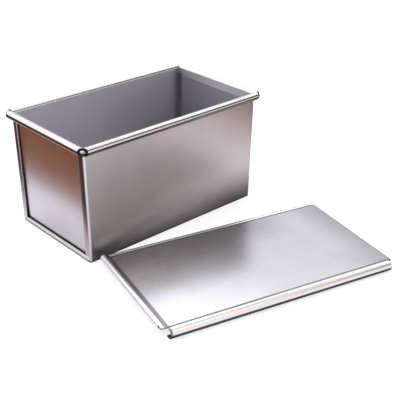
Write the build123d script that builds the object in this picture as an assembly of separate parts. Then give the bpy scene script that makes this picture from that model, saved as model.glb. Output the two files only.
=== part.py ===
from build123d import *
import os

# Pullman loaf pan with its sliding lid taken off and laid flat beside it.
# Millimetres, +Z up. The origin is the centre of the pan's underside, X runs
# along the pan and Y across it.

# Pan: the inside at the rim, the height over all, and how far the walls lean in
inner_length = 194.6
inner_width = 106.0
pan_height = 110.0
end_taper = 2.0
side_taper = 0.2

# Sheet metal, the wire in the rim and the small gaps that the forming leaves
sheet = 0.8
wire_diameter = 5.4
wire_corner = 3.0
forming_gap = 0.05

# Curled rim: the curl stops short of a full turn, and is notched at the corners
curl_open_angle = 50.0
corner_notch = 5.8
mitre_gap = 0.3
flare_height = 6.0

# Folded end seams: the body's edges are folded over the edges of the end panels
seam_proud = 1.3
seam_depth = 2.3
seam_side_width = 6.8
seam_foot_width = 5.4
seam_below_rim = 0.4
seam_edge_round = 0.9
corner_round = 3.0
bottom_round = 1.9

# Lid: C rails that ride on the rim's bead, a lip to pull and a hem that stops it
rail_clearance = 0.2
rail_side_play = 1.8
rail_start_angle = 30.0
rail_lip = 3.0
rail_trim = 8.2
rail_stop_gap = 0.8
lid_drop = 0.15
flat_overlap_share = 0.52
lip_diameter = 5.4
lip_open_angle = 150.0
hem_diameter = 3.6
hem_open_angle = 120.0
stop_clearance = 0.4
lid_length = 221.6
lip_trim = 1.5
hem_trim = 0.8

# Lid at rest: its place and turn on the table beside the pan
lid_x = 0.6
lid_y = -147.0
lid_turn = -14.4

# Cuts run past what they cut by this much
overrun = 5.0

# Sizes that follow from the ones above
fit = sheet + forming_gap
curl_radius = wire_diameter / 2 + forming_gap
bead_radius = curl_radius + sheet
rim_level = pan_height - bead_radius
wire_half_length = inner_length / 2 + bead_radius
wire_half_width = inner_width / 2 + bead_radius
side_half_width = inner_width / 2 + sheet
seam_half_length = inner_length / 2 + sheet + seam_proud
post_top = rim_level - bead_radius - seam_below_rim
flare_low = rim_level - flare_height
rail_inner = bead_radius + rail_clearance
rail_outer = rail_inner + sheet
lid_under = rail_outer + bead_radius - lid_drop
lid_top = lid_under + sheet
hem_radius = hem_diameter / 2
lip_radius = lip_diameter / 2
lid_right = wire_half_length + bead_radius + stop_clearance + hem_diameter
lid_left = lid_right - lid_length
rail_half_width = wire_half_width + rail_side_play
flat_half_width = rail_half_width - rail_inner * flat_overlap_share


def half_length(z):
    """Half the pan's length at a height, over the outside of the end seams."""
    return seam_half_length - end_taper * (rim_level - z) / rim_level


def half_width(z):
    """Half the pan's width at a height, over the outside of the long walls."""
    return side_half_width - side_taper * (rim_level - z) / rim_level


def panel_face(z):
    """Distance of an end panel's outer face from the middle of the pan at a height."""
    return half_length(z) - seam_depth


def along_y(points, reach):
    """Solid whose X-Z outline is given, reaching both ways along Y."""
    return extrude(Plane.XZ * make_face(Polyline(*points, close=True)), reach, both=True)


def along_x(points, reach):
    """Solid whose Y-Z outline is given, reaching both ways along X."""
    return extrude(Plane.YZ * make_face(Polyline(*points, close=True)), reach, both=True)


def upright(points, low, high):
    """Solid whose plan is given, between two heights."""
    return extrude(Plane((0, 0, low)) * make_face(Polyline(*points, close=True)), high - low)


def layer(low, high):
    """Everything about the pan between two heights."""
    reach = inner_length
    return upright([(-reach, -reach), (reach, -reach), (reach, reach), (-reach, reach)], low, high)


def tub(inset, top):
    """Tapered tub with rounded corners, drawn in from the pan's outside by an inset."""
    x_low = half_length(inset) - inset
    x_top = half_length(top) - inset
    y_low = half_width(inset) - inset
    y_top = half_width(top) - inset
    ends = along_y([(-x_low, inset), (x_low, inset), (x_top, top), (-x_top, top)], inner_width)
    sides = along_x([(-y_low, inset), (y_low, inset), (y_top, top), (-y_top, top)], inner_length)
    block = (ends & sides).solids()[0]
    rising = [e for e in block.edges() if abs((e @ 0).Z - (e @ 1).Z) > pan_height / 2]
    block = fillet(rising, corner_round - inset)
    lowest = block.faces().sort_by(Axis.Z)[0]
    return fillet(lowest.edges(), bottom_round - inset)


def opening(side_width, foot_width):
    """Prism through both end walls that leaves a border of these widths on three sides."""
    low = foot_width
    high = pan_height + overrun
    y_low = half_width(low) - side_width
    y_high = half_width(high) - side_width
    return along_x([(-y_low, low), (y_low, low), (y_high, high), (-y_high, high)], inner_length)


def ring(outer, inner, start, sweep_angle):
    """Flat ring sector about the origin, from a start angle and turning by a sweep angle."""
    reach = outer * 2
    steps = 4
    wedge = [(0, 0)]
    for step in range(steps + 1):
        edge_point = Vector(reach, 0).rotate(Axis.Z, start + sweep_angle * step / steps)
        wedge.append((edge_point.X, edge_point.Y))
    full = Circle(outer) - Circle(inner)
    return full & make_face(Polyline(*wedge, close=True))


def curl_section():
    """Section of the rim's curl about the wire, with the wall at its left."""
    return ring(bead_radius, curl_radius, 180, curl_open_angle - 360)


def wire_loop(radius):
    """Closed loop of a round bar that follows the rim."""
    path = RectangleRounded(2 * wire_half_length, 2 * wire_half_width, wire_corner).wire()
    path = path.moved(Location((0, 0, rim_level)))
    section = Plane(origin=path @ 0, z_dir=path % 0) * Circle(radius)
    return sweep(section, path=path)


def notched(curl):
    """A curl with its ends taken off by round notches, clear of the wire's bends."""
    x = wire_half_length + bead_radius
    y = wire_half_width + bead_radius
    tall = pan_height + overrun - post_top
    for i in (-1, 1):
        for j in (-1, 1):
            curl = curl - Pos(i * x, j * y, post_top + tall / 2) * Cylinder(corner_notch, tall)
    return curl - wire_loop((curl_radius + wire_diameter / 2) / 2)


def mitre_plan(long_side):
    """Plan of the half (+X or +Y) of the rim that belongs to a long or a short side."""
    reach = inner_width
    corner = inner_length / 2 - inner_width / 2
    if long_side:
        near = corner - mitre_gap / 2
        return [(-near, 0), (near, 0), (near + reach, reach), (-near - reach, reach)]
    near = corner + mitre_gap / 2
    return [(near, 0), (near + reach, reach), (near + reach, -reach)]


def long_rim():
    """Top of the +Y long wall with its curl, up to the mitres and notches."""
    wall = along_x(
        [
            (half_width(post_top) - sheet, post_top),
            (half_width(post_top), post_top),
            (half_width(rim_level), rim_level),
            (half_width(rim_level) - sheet, rim_level),
        ],
        inner_length / 2,
    )
    place = Plane.YZ * Pos(wire_half_width, rim_level)
    curl = extrude(place * curl_section(), inner_length, both=True)
    curl = curl & upright(mitre_plan(True), post_top, pan_height + overrun)
    return notched(wall + curl)


def seam_lip():
    """The folded edge's return into the recess of the +X end, on three sides."""
    low = -overrun
    zone = along_y(
        [
            (panel_face(low) + forming_gap, low),
            (panel_face(flare_low) + forming_gap, flare_low),
            (half_length(flare_low) - forming_gap, flare_low),
            (half_length(low) - forming_gap, low),
        ],
        inner_width,
    )
    border = opening(seam_side_width - sheet, seam_foot_width - sheet)
    return (border & zone) - opening(seam_side_width, seam_foot_width)


def rounded_folds(shell):
    """The shell with the outer edges of its folded seams rounded."""
    folds = []
    for e in shell.edges():
        middle = e @ (1 / 2)
        inset = half_width(middle.Z) - abs(middle.Y)
        on_face = abs(abs(middle.X) - half_length(middle.Z)) < forming_gap / 2
        on_side = abs(inset - seam_side_width) < forming_gap / 2
        on_foot = abs(middle.Z - seam_foot_width) < forming_gap / 2
        if on_face and e.length > corner_round and (on_side or on_foot):
            folds.append(e)
    return fillet(folds, seam_edge_round)


def make_body_sheet():
    """One sheet bent to a U: the bottom, both long walls and their curled rims."""
    shell = tub(0, rim_level) - tub(sheet, rim_level + overrun)
    shell = shell - opening(seam_side_width, seam_foot_width)
    shell = shell - layer(post_top, pan_height + overrun)
    lip = seam_lip()
    shell = rounded_folds(shell + lip + mirror(lip, Plane.YZ))
    rim = long_rim()
    return shell + rim + mirror(rim, Plane.XZ)


def make_end_panel():
    """The +X end panel: its plate, the hooked edges in the seam, the flare and the curl."""
    low = 0
    wall_x = inner_length / 2 + sheet
    plate = along_y(
        [
            (panel_face(low), low),
            (panel_face(flare_low), flare_low),
            (wall_x, rim_level),
            (wall_x - sheet, rim_level),
            (panel_face(flare_low) - sheet, flare_low),
            (panel_face(low) - sheet, low),
        ],
        inner_width / 2 - forming_gap,
    )
    below = layer(-overrun, post_top)
    panel = (plate & tub(fit, rim_level) & below) + (plate - below)
    seam_zone = along_y(
        [
            (panel_face(low) - sheet / 2, low),
            (panel_face(flare_low) - sheet / 2, flare_low),
            (half_length(flare_low), flare_low),
            (half_length(low), low),
        ],
        inner_width,
    )
    hooks = tub(fit, flare_low) - tub(fit + sheet, flare_low + overrun)
    hooks = (hooks & seam_zone) - opening(seam_side_width - fit, seam_foot_width - fit)
    place = Plane.XZ * Pos(wire_half_length, rim_level)
    curl = extrude(place * curl_section(), inner_width, both=True)
    curl = curl & upright(mitre_plan(False), post_top, pan_height + overrun)
    return notched(panel + hooks + curl)


def make_lid_flat():
    """The lid's flat sheet, between its four turned edges."""
    length = lid_right - hem_radius - lid_left - lip_radius
    middle = (lid_left + lip_radius + lid_right - hem_radius) / 2
    return Pos(middle, 0, lid_top - sheet / 2) * Box(length, 2 * flat_half_width, sheet)


def make_rail():
    """The C rail along the lid's +Y side."""
    first = lid_left + rail_trim
    last = lid_right - hem_diameter - rail_stop_gap
    place = Plane.YZ * Pos(rail_half_width, rail_outer)
    section = place * ring(rail_outer, rail_inner, 90 + rail_start_angle, -(180 + rail_start_angle))
    bend = Pos(first, 0, 0) * extrude(section, last - first)
    middle = (first + last) / 2
    lip = Pos(middle, rail_half_width - rail_lip / 2, sheet / 2) * Box(last - first, rail_lip, sheet)
    return bend + lip


def make_lid_sheet():
    """The lid as it would lie closed over the pan, but with its rails on the ground."""
    rail = make_rail()
    lip_place = Plane.XZ * Pos(lid_left + lip_radius, lid_under + lip_radius)
    lip_section = lip_place * ring(lip_radius, lip_radius - sheet, 270, lip_open_angle - 360)
    lip = extrude(lip_section, flat_half_width - lip_trim, both=True)
    hem_place = Plane.XZ * Pos(lid_right - hem_radius, lid_top - hem_radius)
    hem_section = hem_place * ring(hem_radius, hem_radius - sheet, 90, hem_open_angle - 360)
    hem = extrude(hem_section, flat_half_width - hem_trim, both=True)
    return make_lid_flat() + rail + mirror(rail, Plane.XZ) + lip + hem


def main():
    """Build every piece and write one file for each."""
    panel = make_end_panel()
    lid_place = Location((lid_x, lid_y, 0), (0, 0, lid_turn))
    pieces = {
        "body_sheet": make_body_sheet(),
        "right_end_panel": panel,
        "left_end_panel": mirror(panel, Plane.YZ),
        "rim_wire": wire_loop(wire_diameter / 2),
        "lid_sheet": lid_place * make_lid_sheet(),
    }
    os.makedirs("parts", exist_ok=True)
    for name, piece in pieces.items():
        export_step(piece, "parts/" + name + ".step")


main()
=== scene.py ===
import math

import bpy
from mathutils import Matrix, Vector

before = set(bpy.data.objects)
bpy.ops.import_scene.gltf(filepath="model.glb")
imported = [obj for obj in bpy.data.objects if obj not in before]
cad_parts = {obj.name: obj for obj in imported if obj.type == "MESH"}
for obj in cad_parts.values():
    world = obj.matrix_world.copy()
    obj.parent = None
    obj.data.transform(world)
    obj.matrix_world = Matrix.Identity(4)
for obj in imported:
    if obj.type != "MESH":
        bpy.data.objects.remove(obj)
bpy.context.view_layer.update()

SCENE = bpy.context.scene

# The photo's view: its width and focal length in pixels, the sensor in millimetres, the place in metres
PHOTO_WIDTH = 400
SENSOR_WIDTH = 36
FOCAL_PIXELS = 817.65
CAMERA_PLACE = (-0.43678, -0.55451, 0.37271)
CAMERA_AZIMUTH = math.radians(-42.98)
CAMERA_ELEVATION = math.radians(27.36)
CAMERA_ROLL = math.radians(0.69)

# How far each wall leans outward, as a share of its height
SIDE_LEAN = 0.0019
END_LEAN = 0.0188

# The outer corner of the rim's bead, as distances along and across the pan
RIM_CORNER_ALONG = 0.1044
RIM_CORNER_ACROSS = 0.0601

# Heights on the pan in metres, each a pair between which one zone gives way to the next
FOOT_TOP = (0.006, 0.008)
FOLD_TOP = (0.0062, 0.0066)
SOLE_TOP = (0.0012, 0.0030)
FLARE_START = (0.0985, 0.0990)
BEAD_UNDERSIDE = (0.1015, 0.1025)
NOTCH_START = (0.1020, 0.1028)
BELOW_BEAD = (0.1026, 0.1029)
BEAD_SIDE = (0.1028, 0.1032)
BEAD_CROWN = (0.1062, 0.1068)
BEAD_DARK_TOP = (0.1064, 0.1071)

# Distances along the pan, from its middle to either end
INNER_END = (0.0945, 0.0949)
FLARE_END = (0.0975, 0.0978)
SEAM_FRONT = (0.0945, 0.0965)
FOLD_FRONT = (0.0968, 0.0972)
CURL_START = (0.0976, 0.0980)
CURL_STOP = (0.1000, 0.1005)
CLEAR_OF_END = (0.1005, 0.1010)

# Distances across the pan, from its middle to either side
POST_EDGE = (0.0464, 0.0468)
INNER_SIDE = (0.0528, 0.0532)
FAR_CURL = (0.0530, 0.0540)
CLEAR_OF_SIDE = (0.0541, 0.0545)

# Tones on the pan: the inside's own tone, then painted shade and painted highlight where light falls
INSIDE_TONE = (0.93, 0.92, 0.98)
INSIDE_SHADE = (0.42, 0.41, 0.45)
FAR_END_SHADE = (0.25, 0.25, 0.28)
POST_SHADE = (0.12, 0.105, 0.125)
BEND_HIGHLIGHT = (0.88, 0.87, 0.91)
BEAD_POLISH_AND_HIGHLIGHT = (0.95, 0.95, 0.96)
LOW_WALL_SHADE = (0.10, 0.095, 0.095)
WALL_FOOT_SHADE = (0.05, 0.047, 0.047)
SOLE_SHADE = (0.14, 0.135, 0.14)
RIM_SHADE = (0.035, 0.033, 0.035)
WIRE_SHADE = (0.02, 0.02, 0.02)

# The lid's place and turn on the table, as in the CAD
LID_PLACE = (0.0006, -0.147, 0)
LID_TURN = math.radians(-14.4)

# Places on the lid in its own frame: along its rails, and across them to either side
LID_LIP = (-0.1065, -0.1075)
LID_LIP_CREASE_START = (-0.1028, -0.1038)
LID_LIP_CREASE_STOP = (-0.1075, -0.1070)
LID_LIP_FOOT = (0.0090, 0.0094)
LID_HEM_CREASE = (0.1064, 0.1070)
RAIL_CREASE_START = (0.0550, 0.0556)
RAIL_CREASE_STOP = (0.0566, 0.0570)
RAIL_ROLL = (0.0568, 0.0572)
RAIL_SIDE = (0.0570, 0.0580)

# Tones on the lid: painted shade toward its far-left edge, its hem end, its creases and under its rails;
# painted highlight on its rolls
LID_FAR_SHADE = (0.13, 0.128, 0.133)
LID_END_SHADE = (0.30, 0.28, 0.30)
ROLL_HIGHLIGHT = (0.97, 0.96, 0.97)
CREASE_SHADE = (0.17, 0.165, 0.175)
RAIL_UNDERSIDE_SHADE = (0.03, 0.028, 0.028)

# The floor, as the camera sees it and as the metal mirrors it
FLOOR_REACH = 6.0
FLOOR_LIT = (0.53, 0.55, 0.56, 1)
FLOOR_GLOW = 0.68
TABLE_PALE = (0.95, 0.93, 0.99)
TABLE_BROWN = (0.23, 0.092, 0.034)
TABLE_DARK = (0.03, 0.025, 0.025)

# The studio's light: directions, base level and tints
STUDIO_LEVEL = 0.33
DARK_PATCH_WAY = (0.61, -0.60, 0.52)
FRONT_LIGHT_WAY = (0.20, -0.95, 0.24)
BEHIND_ALONG_X = 0.087
BEHIND_ALONG_Y = 0.996
FRONT_TINT = (1.0, 0.93, 0.90)
BACK_TINT = (0.97, 0.96, 1.0)

# Stretch of the rolled grain along X, Y and Z: a small number draws it out
LONG_GRAIN = (60, 2400, 2400)
TALL_GRAIN = (2400, 2400, 60)
LID_GRAIN = (30, 700, 700)


def camera():
    """The photo's view: a short telephoto from the pan's near-left corner."""
    back = Vector((
        math.sin(CAMERA_AZIMUTH) * math.cos(CAMERA_ELEVATION),
        -math.cos(CAMERA_AZIMUTH) * math.cos(CAMERA_ELEVATION),
        math.sin(CAMERA_ELEVATION),
    ))
    across = Vector((0, 0, 1)).cross(back).normalized()
    upward = back.cross(across)
    right = across * math.cos(CAMERA_ROLL) + upward * math.sin(CAMERA_ROLL)
    top = upward * math.cos(CAMERA_ROLL) - across * math.sin(CAMERA_ROLL)
    data = bpy.data.cameras.new("camera")
    data.sensor_width = SENSOR_WIDTH
    data.lens = FOCAL_PIXELS * SENSOR_WIDTH / PHOTO_WIDTH
    data.clip_start = 0.01
    data.clip_end = 20
    item = bpy.data.objects.new("camera", data)
    turn = Matrix((right, top, back)).transposed().to_4x4()
    item.matrix_world = Matrix.Translation(CAMERA_PLACE) @ turn
    SCENE.collection.objects.link(item)
    SCENE.camera = item


class Nodes:
    """A small helper that adds nodes to one tree and links them."""

    def __init__(self, tree):
        self.tree = tree
        tree.nodes.clear()

    def add(self, kind, inputs=(), **settings):
        node = self.tree.nodes.new(kind)
        for name, value in settings.items():
            setattr(node, name, value)
        for name, value in dict(inputs).items():
            if isinstance(value, bpy.types.NodeSocket):
                self.tree.links.new(value, node.inputs[name])
            else:
                node.inputs[name].default_value = value
        return node

    def math(self, operation, first, second=0.0):
        node = self.add("ShaderNodeMath", {0: first, 1: second}, operation=operation)
        return node.outputs["Value"]

    def fold(self, operation, values):
        """One value from several, taken from left to right."""
        result = values[0]
        for value in values[1:]:
            result = self.math(operation, result, value)
        return result

    def product(self, *values):
        return self.fold("MULTIPLY", values)

    def total(self, *values):
        return self.fold("ADD", values)

    def largest(self, *values):
        return self.fold("MAXIMUM", values)

    def size(self, value):
        return self.math("ABSOLUTE", value)

    def parts(self, vector):
        """A vector's X, Y and Z."""
        node = self.add("ShaderNodeSeparateXYZ", {"Vector": vector})
        return node.outputs["X"], node.outputs["Y"], node.outputs["Z"]

    def vector(self, x=0.0, y=0.0, z=0.0):
        return self.add("ShaderNodeCombineXYZ", {"X": x, "Y": y, "Z": z}).outputs["Vector"]

    def length(self, vector):
        return self.add("ShaderNodeVectorMath", {0: vector}, operation="LENGTH").outputs["Value"]

    def along(self, vector, direction):
        """How far a vector reaches in a direction."""
        node = self.add("ShaderNodeVectorMath", {0: vector, 1: direction}, operation="DOT_PRODUCT")
        return node.outputs["Value"]

    def place(self):
        return self.add("ShaderNodeTexCoord").outputs["Object"]

    def facing(self):
        """The X, Y and Z of the way that a surface faces."""
        return self.parts(self.add("ShaderNodeNewGeometry").outputs["Normal"])

    def is_camera_ray(self):
        return self.add("ShaderNodeLightPath").outputs["Is Camera Ray"]

    def noise(self, vector, scale, seed, detail=3.0, roughness=0.5):
        return self.add("ShaderNodeTexNoise", {
            "Vector": vector, "Scale": scale, "Detail": detail, "Roughness": roughness, "W": seed,
        }, noise_dimensions="4D").outputs["Fac"]

    def remap(self, value, band, ends, smooth=False):
        """A value carried from one pair of ends to another, and held at them."""
        return self.add("ShaderNodeMapRange", {
            "Value": value, "From Min": band[0], "From Max": band[1], "To Min": ends[0], "To Max": ends[1],
        }, interpolation_type="SMOOTHSTEP" if smooth else "LINEAR").outputs["Result"]

    def rise(self, value, band, top=1.0, smooth=False):
        """From nothing at the band's first end to the top at its second."""
        return self.remap(value, band, (0.0, top), smooth)

    def fall(self, value, band, top=1.0, smooth=False):
        """From the top at the band's first end to nothing at its second."""
        return self.remap(value, band, (top, 0.0), smooth)

    def mix(self, factor, first, second):
        node = self.add("ShaderNodeMix", {"Factor": factor}, data_type="RGBA", blend_type="MIX")
        for socket, value in ((node.inputs[6], first), (node.inputs[7], second)):
            if isinstance(value, bpy.types.NodeSocket):
                self.tree.links.new(value, socket)
            else:
                socket.default_value = (*value, 1)
        return node.outputs[2]

    def surface(self, shader, kind="ShaderNodeOutputMaterial"):
        out = self.add(kind)
        self.tree.links.new(shader, out.inputs["Surface"])


def new_material(name):
    material = bpy.data.materials.new(name)
    material.use_nodes = True
    return material, Nodes(material.node_tree)


def corner_reach(nodes, along, across):
    """Distance from the nearest outer corner of the rim, seen from above."""
    return nodes.length(nodes.vector(
        nodes.math("SUBTRACT", along, RIM_CORNER_ALONG),
        nodes.math("SUBTRACT", across, RIM_CORNER_ACROSS),
    ))


def pan_inside(nodes, along, across, z):
    """The inner faces: between the leaning walls, and in the flare at each end."""
    side = nodes.math("SUBTRACT", across, nodes.product(z, SIDE_LEAN))
    end = nodes.math("SUBTRACT", along, nodes.product(z, END_LEAN))
    flare = nodes.product(nodes.rise(z, FLARE_START), nodes.fall(along, FLARE_END))
    return nodes.product(nodes.fall(side, INNER_SIDE), nodes.largest(nodes.fall(end, INNER_END), flare))


def pan_folds(nodes, along, across, z, facing):
    """The seams' flat posts, which get painted shade, and the rounded bends beside and under them, which
    get a painted highlight.
    """
    facing_x, facing_y, facing_z = facing
    below_bead = nodes.fall(z, BELOW_BEAD)
    turned = nodes.size(facing_y)
    upright = nodes.product(
        nodes.rise(turned, (0.70, 0.80), smooth=True),
        nodes.fall(turned, (0.92, 0.97), smooth=True),
    )
    ledge = nodes.product(nodes.size(facing_x), facing_z, nodes.fall(z, FOOT_TOP))
    bend = nodes.product(nodes.largest(upright, nodes.rise(ledge, (0.43, 0.485), smooth=True)), below_bead)
    post = nodes.product(
        nodes.rise(across, POST_EDGE), nodes.rise(along, SEAM_FRONT), below_bead,
        nodes.rise(z, (0.006, 0.060)), nodes.rise(nodes.size(facing_x), (0.62, 0.86)),
    )
    return post, bend


def pan_rim_shade(nodes, x, y, z):
    """Painted shade in the gaps round each corner's notch, at the far-left curl's start and under the bead.
    """
    along = nodes.size(x)
    across = nodes.size(y)
    above_notch = nodes.rise(z, NOTCH_START)
    notch = nodes.fall(corner_reach(nodes, along, across), (0.0063, 0.0068))
    far_left = nodes.product(
        nodes.rise(along, CURL_START), nodes.fall(along, CURL_STOP),
        nodes.rise(y, FAR_CURL), nodes.rise(x, (-0.05, -0.06)),
    )
    clear = nodes.largest(nodes.rise(across, CLEAR_OF_SIDE), nodes.rise(along, CLEAR_OF_END))
    under = nodes.product(nodes.fall(z, BEAD_DARK_TOP, smooth=True), nodes.rise(z, BEAD_UNDERSIDE), clear)
    corners = nodes.product(nodes.largest(notch, far_left), above_notch)
    return nodes.largest(corners, nodes.product(under, 0.88))


def pan_zones(nodes, place, colour, gloss):
    """The pan's zones: a matt inside with painted shade deeper down and toward its right end, a rim that
    the lid polishes and that gets a painted highlight, painted shade on the seams' posts, low on the walls,
    on the sole and at the rim, and a painted highlight on the bends.
    """
    x, y, z = nodes.parts(place)
    along = nodes.size(x)
    across = nodes.size(y)
    facing = nodes.facing()
    sideways = nodes.size(facing[1])

    inside = pan_inside(nodes, along, across, z)
    outside = nodes.math("SUBTRACT", 1.0, inside)
    colour = nodes.mix(nodes.product(inside, 0.88), colour, INSIDE_TONE)
    gloss = nodes.total(gloss, nodes.product(inside, 0.12))
    deeper = nodes.rise(z, (0.095, 0.035), 0.38, smooth=True)
    farther = nodes.rise(x, (-0.03, 0.09), 0.22, smooth=True)
    colour = nodes.mix(nodes.product(inside, nodes.total(deeper, farther)), colour, INSIDE_SHADE)

    post, bend = pan_folds(nodes, along, across, z, facing)
    # Painted shade on the seams' posts, darker higher up
    colour = nodes.mix(nodes.product(post, 0.92), colour, POST_SHADE)
    # Painted highlight on the rounded corners and the foot's ledge, chosen by the way each faces
    colour = nodes.mix(nodes.product(bend, 0.85), colour, BEND_HIGHLIGHT)

    # The bead is glossier from the lid's polish, and lighter by a painted highlight
    bead = nodes.product(outside, nodes.rise(z, BEAD_SIDE))
    bead = nodes.largest(bead, nodes.rise(z, BEAD_CROWN, smooth=True))
    colour = nodes.mix(nodes.product(bead, 0.9), colour, BEAD_POLISH_AND_HIGHLIGHT)
    gloss = nodes.math("SUBTRACT", gloss, nodes.product(bead, 0.15))

    # Painted shade low on the long outer walls, stronger toward the right end
    wall = nodes.product(
        nodes.fall(z, (0.0, 0.042), 0.62, smooth=True), nodes.rise(sideways, (0.80, 0.97)),
        outside, nodes.remap(x, (-0.09, 0.08), (0.6, 1.5)),
    )
    colour = nodes.mix(wall, colour, LOW_WALL_SHADE)
    # Painted contact shadow along the long walls' foot, darkest toward the left end
    wall_foot = nodes.product(
        nodes.fall(z, (0.001, 0.016), 0.80, smooth=True), nodes.rise(sideways, (0.90, 0.98)),
        outside, nodes.remap(x, (-0.06, 0.05), (1.0, 0.25), smooth=True),
    )
    colour = nodes.mix(wall_foot, colour, WALL_FOOT_SHADE)
    # Painted contact shade on the lowest few millimetres of the folded foot under each end
    sole = nodes.product(nodes.fall(z, SOLE_TOP, 0.75, smooth=True), nodes.rise(along, FOLD_FRONT))
    colour = nodes.mix(sole, colour, SOLE_SHADE)

    far_end = nodes.product(nodes.rise(y, (-0.03, 0.050), smooth=True), nodes.rise(x, (0.088, 0.094)))
    colour = nodes.mix(nodes.product(far_end, inside, 0.55), colour, FAR_END_SHADE)
    # Painted shade at the rim's notches and under the bead
    colour = nodes.mix(pan_rim_shade(nodes, x, y, z), colour, RIM_SHADE)
    # The inside is mostly kept from the painted fold shade
    return colour, gloss, nodes.product(inside, 0.93)


def pan_bow(nodes, place):
    """The folded foot under each end looks round: its upper half leans up and its lower half down."""
    x, _, z = nodes.parts(place)
    foot = nodes.product(
        nodes.fall(z, FOLD_TOP), nodes.rise(nodes.size(x), FOLD_FRONT),
        nodes.rise(nodes.size(nodes.facing()[0]), (0.90, 0.97)),
    )
    return nodes.vector(z=nodes.product(foot, nodes.remap(z, (0.0017, 0.0034), (-0.5, 1.1), smooth=True)))


def wire_zones(nodes, place, colour, gloss):
    """Painted shade on the bare wire's underside, and where it goes into the curl at each corner."""
    x, y, _ = nodes.parts(place)
    reach = corner_reach(nodes, nodes.size(x), nodes.size(y))
    wire_shade = nodes.largest(
        nodes.rise(reach, (0.0043, 0.0050), smooth=True),
        nodes.rise(nodes.facing()[2], (0.25, -0.15), smooth=True),
    )
    return nodes.mix(wire_shade, colour, WIRE_SHADE), gloss, 0.0


def lid_parts(nodes, place):
    """Position in the lid's own frame: X along its rails, Y across them."""
    return nodes.parts(nodes.add("ShaderNodeMapping", {
        "Vector": place, "Location": LID_PLACE, "Rotation": (0, 0, LID_TURN),
    }, vector_type="TEXTURE").outputs["Vector"])


def lid_zones(nodes, place, colour, gloss):
    """The lid's painted light: painted shade toward its far-left edge, its hem and its creases, painted
    highlight on the rolls, painted shade below the rails.
    """
    x, y, z = lid_parts(nodes, place)
    far = nodes.size(y)
    # Painted shade toward the lid's far-left part
    far_shade = nodes.product(
        nodes.rise(y, (0.010, 0.050), smooth=True),
        nodes.fall(x, (0.03, 0.08), smooth=True),
    )
    colour = nodes.mix(nodes.product(far_shade, 0.38), colour, LID_FAR_SHADE)
    # Painted shade toward the lid's hem end
    colour = nodes.mix(nodes.rise(x, (0.070, 0.115), 0.50, smooth=True), colour, LID_END_SHADE)
    # Painted highlight on the rails' rolls and the lip
    roll = nodes.largest(nodes.rise(far, RAIL_ROLL), nodes.rise(x, LID_LIP))
    colour = nodes.mix(nodes.product(roll, 0.9), colour, ROLL_HIGHLIGHT)
    # Painted shade in the creases by the rails, the lip and the hem
    rail_crease = nodes.product(nodes.rise(far, RAIL_CREASE_START), nodes.fall(far, RAIL_CREASE_STOP))
    lip_crease = nodes.product(
        nodes.rise(x, LID_LIP_CREASE_START), nodes.rise(x, LID_LIP_CREASE_STOP),
        nodes.fall(z, LID_LIP_FOOT),
    )
    crease = nodes.largest(rail_crease, lip_crease, nodes.rise(x, LID_HEM_CREASE))
    colour = nodes.mix(nodes.product(crease, 0.85), colour, CREASE_SHADE)
    # Painted shade on the downward faces beyond the rails
    below = nodes.product(
        nodes.fall(nodes.facing()[2], (-0.05, 0.20), smooth=True),
        nodes.rise(far, RAIL_SIDE),
    )
    return nodes.mix(nodes.product(below, 0.94), colour, RAIL_UNDERSIDE_SHADE), gloss, 0.0


def lid_bow(nodes, place):
    """The lid's sheet is not quite flat: near its lip it leans toward its near rail."""
    x, y, _ = lid_parts(nodes, place)
    lean = nodes.product(
        nodes.rise(y, (0.055, 0.0), 0.10, smooth=True),
        nodes.rise(x, (0.02, -0.11), smooth=True),
    )
    return nodes.vector(nodes.product(lean, -0.68), nodes.product(lean, -0.73))


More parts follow.
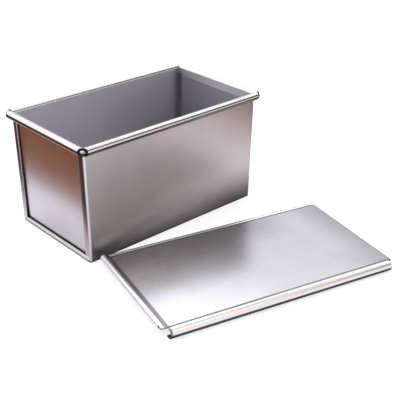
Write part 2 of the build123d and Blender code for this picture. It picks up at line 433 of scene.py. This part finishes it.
def sheet_metal(name, dark, light, rough, seed, zones, stretch, turn=0.0, bow=None, grain=0.05):
    """Bare satin metal: rolled grain, cloudy tone, faint smudges and painted shade in the folds."""
    material, nodes = new_material(name)
    place = nodes.place()
    rolled = nodes.add("ShaderNodeMapping", {
        "Vector": place, "Rotation": (0, 0, turn), "Scale": stretch,
    }).outputs["Vector"]
    fine = nodes.noise(rolled, 1.0, seed, 3.0)
    streak = nodes.noise(rolled, 0.16, seed + 1.0, 2.0)
    cloud = nodes.noise(place, 24.0, seed + 2.0, 4.0, 0.6)
    speck = nodes.noise(place, 900.0, seed + 3.0, 2.0)
    smudge = nodes.rise(nodes.noise(place, 30.0, seed + 4.0, 1.0), (0.45, 0.75), smooth=True)
    tone = nodes.total(
        nodes.product(cloud, 0.5), nodes.product(streak, 0.2),
        nodes.product(fine, 0.15), nodes.product(speck, 0.15),
    )
    colour = nodes.mix(nodes.rise(tone, (0.30, 0.70)), dark, light)
    colour = nodes.mix(nodes.product(smudge, 0.05), colour, tuple(0.72 * c for c in dark))
    gloss = nodes.remap(cloud, (0.2, 0.8), (rough - 0.02, rough + 0.02))
    gloss = nodes.total(gloss, nodes.product(smudge, 0.02))
    colour, gloss, kept_from_fold_shade = zones(nodes, place, colour, gloss)
    # Painted shade where the surface is occluded, in folds, recesses and corners; the zones' third value
    # keeps it off
    fold = nodes.add("ShaderNodeAmbientOcclusion", {"Distance": 0.004}, samples=8).outputs["AO"]
    unshaded = nodes.largest(nodes.rise(fold, (0.58, 0.96), smooth=True), kept_from_fold_shade)
    colour = nodes.mix(unshaded, tuple(0.06 * c for c in dark), colour)
    edge = nodes.add("ShaderNodeBevel", {"Radius": 0.00035}, samples=4).outputs["Normal"]
    if bow:
        edge = nodes.add("ShaderNodeVectorMath", {0: edge, 1: bow(nodes, place)}, operation="ADD")
        edge = nodes.add("ShaderNodeVectorMath", {0: edge.outputs["Vector"]}, operation="NORMALIZE")
        edge = edge.outputs["Vector"]
    bump = nodes.add("ShaderNodeBump", {
        "Height": fine, "Strength": grain, "Distance": 0.0002, "Normal": edge,
    }).outputs["Normal"]
    nodes.surface(nodes.add("ShaderNodeBsdfPrincipled", {
        "Base Color": colour, "Metallic": 1.0, "Roughness": gloss, "Normal": bump,
    }).outputs["BSDF"])
    return material


def dress(node, material):
    """Give a CAD node its material."""
    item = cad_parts[node]
    item.data.materials.clear()
    item.data.materials.append(material)


def floor_material():
    """White with a shadow to the camera; in mirrors a pale sheet on a brown table, darker far off."""
    material, nodes = new_material("floor")
    place = nodes.place()
    x, y, _ = nodes.parts(place)
    left = nodes.largest(
        nodes.rise(x, (-0.158, -0.134), smooth=True),
        nodes.rise(y, (-0.070, -0.110), smooth=True),
    )
    right = nodes.fall(x, (0.19, 0.26), smooth=True)
    sheet = nodes.largest(nodes.product(left, right), nodes.rise(y, (-0.42, -0.60), smooth=True))
    brown = nodes.mix(
        nodes.rise(nodes.length(place), (0.42, 0.65), smooth=True),
        TABLE_BROWN, TABLE_DARK,
    )
    table = nodes.mix(sheet, brown, TABLE_PALE)
    mirrored = nodes.add("ShaderNodeBsdfDiffuse", {"Color": table}).outputs["BSDF"]
    lit = nodes.add("ShaderNodeBsdfDiffuse", {"Color": FLOOR_LIT}).outputs["BSDF"]
    glow = nodes.add("ShaderNodeEmission", {"Strength": FLOOR_GLOW}).outputs["Emission"]
    seen = nodes.add("ShaderNodeAddShader", {0: lit, 1: glow}).outputs["Shader"]
    nodes.surface(nodes.add("ShaderNodeMixShader", {
        0: nodes.is_camera_ray(), 1: mirrored, 2: seen,
    }).outputs["Shader"])
    return material


def floor():
    """The plain floor that the pan and the lid stand on."""
    reach = FLOOR_REACH
    mesh = bpy.data.meshes.new("floor")
    corners = [(-reach, -reach, 0), (reach, -reach, 0), (reach, reach, 0), (-reach, reach, 0)]
    mesh.from_pydata(corners, [], [(0, 1, 2, 3)])
    item = bpy.data.objects.new("floor", mesh)
    SCENE.collection.objects.link(item)
    mesh.materials.append(floor_material())


def lamp(name, place, target, size, power):
    data = bpy.data.lights.new(name, "AREA")
    data.shape = "RECTANGLE"
    data.size, data.size_y = size
    data.energy = power
    item = bpy.data.objects.new(name, data)
    item.location = place
    item.rotation_euler = (Vector(target) - Vector(place)).to_track_quat("-Z", "Y").to_euler()
    SCENE.collection.objects.link(item)


def room():
    """White to the camera. To everything else it is a soft studio: brighter behind, to the left, in
    front and overhead, falling off straight above, dark low at the back left and front right."""
    item = bpy.data.worlds.new("room")
    item.use_nodes = True
    SCENE.world = item
    nodes = Nodes(item.node_tree)
    way = nodes.add("ShaderNodeTexCoord").outputs["Generated"]
    x, y, z = nodes.parts(way)
    behind = nodes.total(nodes.product(x, BEHIND_ALONG_X), nodes.product(y, BEHIND_ALONG_Y))
    behind = nodes.rise(behind, (0.1, 0.9), 0.5, smooth=True)
    above = nodes.math(
        "SUBTRACT",
        nodes.rise(z, (0.49, 0.65), 0.95, smooth=True),
        nodes.rise(z, (0.76, 0.88), 0.60, smooth=True),
    )
    beside = nodes.rise(x, (-0.3, -0.6), 0.4, smooth=True)
    front = nodes.rise(nodes.along(way, FRONT_LIGHT_WAY), (0.84, 0.95), 0.55, smooth=True)
    back_left = nodes.product(
        nodes.rise(x, (-0.25, -0.5), smooth=True),
        nodes.rise(y, (0.1, 0.4), smooth=True),
        nodes.fall(z, (0.0, 0.22), 0.94, smooth=True),
    )
    front_right = nodes.rise(nodes.along(way, DARK_PATCH_WAY), (0.93, 0.975), 0.9, smooth=True)
    dark = nodes.largest(back_left, front_right)
    level = nodes.total(behind, above, nodes.total(beside, front), STUDIO_LEVEL)
    level = nodes.product(level, nodes.math("SUBTRACT", 1.0, dark))
    tint = nodes.mix(nodes.rise(y, (-0.5, 0.3)), FRONT_TINT, BACK_TINT)
    soft = nodes.add("ShaderNodeBackground", {"Color": tint, "Strength": level}).outputs["Background"]
    plain = nodes.add("ShaderNodeBackground", {"Color": (1, 1, 1, 1), "Strength": 1.0})
    nodes.surface(nodes.add("ShaderNodeMixShader", {
        0: nodes.is_camera_ray(), 1: soft, 2: plain.outputs["Background"],
    }).outputs["Shader"], "ShaderNodeOutputWorld")


camera()
floor()
room()
lamp("top", (0.1, 0.25, 1.3), (0, 0, 0.05), (0.8, 0.8), 3)

pan_metal = sheet_metal(
    "pan_metal", (0.585, 0.55, 0.54), (0.72, 0.68, 0.67), 0.36, 1.0,
    zones=pan_zones, stretch=LONG_GRAIN, bow=pan_bow,
)
end_metal = sheet_metal(
    "end_metal", (0.66, 0.65, 0.68), (0.76, 0.75, 0.78), 0.24, 21.0,
    zones=pan_zones, stretch=TALL_GRAIN,
)
wire_metal = sheet_metal(
    "wire_metal", (0.55, 0.55, 0.56), (0.68, 0.68, 0.70), 0.26, 41.0,
    zones=wire_zones, stretch=LONG_GRAIN,
)
lid_metal = sheet_metal(
    "lid_metal", (0.67, 0.66, 0.70), (0.82, 0.81, 0.86), 0.27, 61.0,
    zones=lid_zones, stretch=LID_GRAIN, turn=-LID_TURN, bow=lid_bow, grain=0.012,
)
dress("body_sheet", pan_metal)
dress("left_end_panel", end_metal)
dress("right_end_panel", end_metal)
dress("rim_wire", wire_metal)
dress("lid_sheet", lid_metal)

SCENE.view_settings.view_transform = "Standard"
